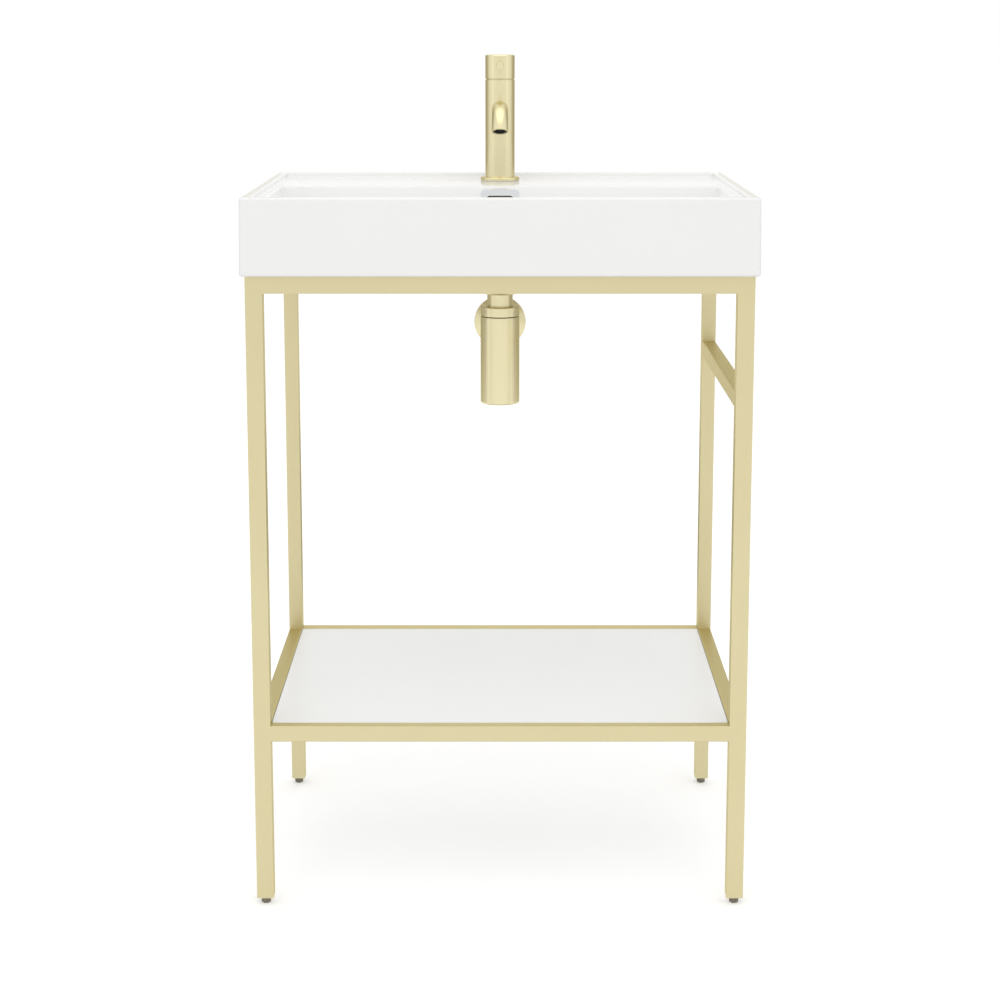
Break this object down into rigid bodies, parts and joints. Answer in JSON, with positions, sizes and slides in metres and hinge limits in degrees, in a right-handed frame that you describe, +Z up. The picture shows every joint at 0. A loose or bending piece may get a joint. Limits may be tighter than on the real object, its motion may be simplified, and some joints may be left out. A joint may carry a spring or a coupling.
{
  "type": "console sink with legs",
  "caption": "Rectangular ceramic console basin on a square-tube frame with a lower shelf and a towel rail, with mixer tap, push-button waste and bottle trap.",
  "frame": {"origin": "on the floor, under the middle of the basin's footprint", "axes": "+Z up, the front faces -Y, the wall is at +Y; the towel rail is on the +X side"},
  "size_m": [0.6, 0.46, 1.0155],
  "materials": {
    "frame_steel": "square steel tube, welds ground flush, satin light-brass plating",
    "brushed_brass": "turned brass, fine satin finish, clear coated",
    "basin_glaze": "gloss white glaze on fireclay",
    "shelf_lacquer": "moisture-resistant board, smooth white lacquer",
    "bright_chrome": "bright chrome plating",
    "foot_steel": "dark turned steel, dull",
    "zinc_steel": "bright zinc plating",
    "plain_steel": "plain turned steel",
    "clear_silicone": "translucent silicone",
    "black_rubber": "moulded rubber, dull",
    "black_plastic": "moulded acetal, black",
    "white_plastic": "moulded acetal"
  },
  "bodies": {
    "fixed_parts": {"basin": "basin_glaze", "basin_pads": "clear_silicone", "cartridge_housing": "white_plastic", "cartridge_nut": "plain_steel", "foot_bushes": "frame_steel", "leg_front_left": "frame_steel", "leg_front_right": "frame_steel", "leg_rear_left": "frame_steel", "leg_rear_right": "frame_steel", "overflow_trim": "bright_chrome", "shelf_board": "shelf_lacquer", "shelf_rail_front": "frame_steel", "shelf_rail_left": "frame_steel", "shelf_rail_rear": "frame_steel", "shelf_rail_right": "frame_steel", "shelf_screws": "zinc_steel", "shelf_tabs": "frame_steel", "tap_aerator": "black_plastic", "tap_body": "brushed_brass", "tap_gasket": "clear_silicone", "tap_rubber_washer": "black_rubber", "tap_shank": "plain_steel", "tap_shank_nut": "plain_steel", "tap_spout": "brushed_brass", "tap_steel_washer": "plain_steel", "top_rail_front": "frame_steel", "top_rail_left": "frame_steel", "top_rail_rear": "frame_steel", "top_rail_right": "frame_steel", "towel_rail": "frame_steel", "trap_body": "brushed_brass", "trap_cap": "brushed_brass", "trap_coupling_nut": "brushed_brass", "trap_inlet_pipe": "brushed_brass", "trap_outlet_nut": "brushed_brass", "trap_outlet_pipe": "brushed_brass", "trap_seal": "black_rubber", "trap_wall_flange": "brushed_brass", "trap_washer": "black_rubber", "waste_backnut": "plain_steel", "waste_backnut_washer": "black_rubber", "waste_body": "bright_chrome", "waste_click_sleeve": "white_plastic", "waste_click_spring": "plain_steel", "waste_gasket": "black_rubber"},
    "tap_swivel": {"cartridge_carrier": "white_plastic", "cartridge_pivot_pin": "plain_steel"},
    "tap_handle": {"cartridge_stem": "plain_steel", "handle_cap": "brushed_brass", "handle_lever": "brushed_brass", "handle_grub_screw": "plain_steel"},
    "waste_plug": {"waste_plug": "bright_chrome", "waste_plug_stem": "plain_steel"},
    "foot_front_left": {"foot_front_left": "foot_steel"},
    "foot_front_right": {"foot_front_right": "foot_steel"},
    "foot_rear_left": {"foot_rear_left": "foot_steel"},
    "foot_rear_right": {"foot_rear_right": "foot_steel"}
  },
  "joints": [
    {"name": "temperature_turn", "type": "hinge", "parent": "fixed_parts", "child": "tap_swivel", "pos_m": [0, 0.15, 0.984], "axis": [0, 0, 1], "range_deg": [-45, 45]},
    {"name": "flow_lift", "type": "hinge", "parent": "tap_swivel", "child": "tap_handle", "pos_m": [0, 0.15, 0.984], "axis": [-1, 0, 0], "range_deg": [0, 18]},
    {"name": "waste_plug_lift", "type": "slide", "parent": "fixed_parts", "child": "waste_plug", "axis": [0, 0, 1], "range_m": [0, 0.008], "deforming": ["waste_click_spring"]},
    {"name": "foot_front_left_height", "type": "slide", "parent": "fixed_parts", "child": "foot_front_left", "axis": [0, 0, -1], "range_m": [0, 0.012]},
    {"name": "foot_front_right_height", "type": "slide", "parent": "fixed_parts", "child": "foot_front_right", "axis": [0, 0, -1], "range_m": [0, 0.012]},
    {"name": "foot_rear_left_height", "type": "slide", "parent": "fixed_parts", "child": "foot_rear_left", "axis": [0, 0, -1], "range_m": [0, 0.012]},
    {"name": "foot_rear_right_height", "type": "slide", "parent": "fixed_parts", "child": "foot_rear_right", "axis": [0, 0, -1], "range_m": [0, 0.012]}
  ]
}
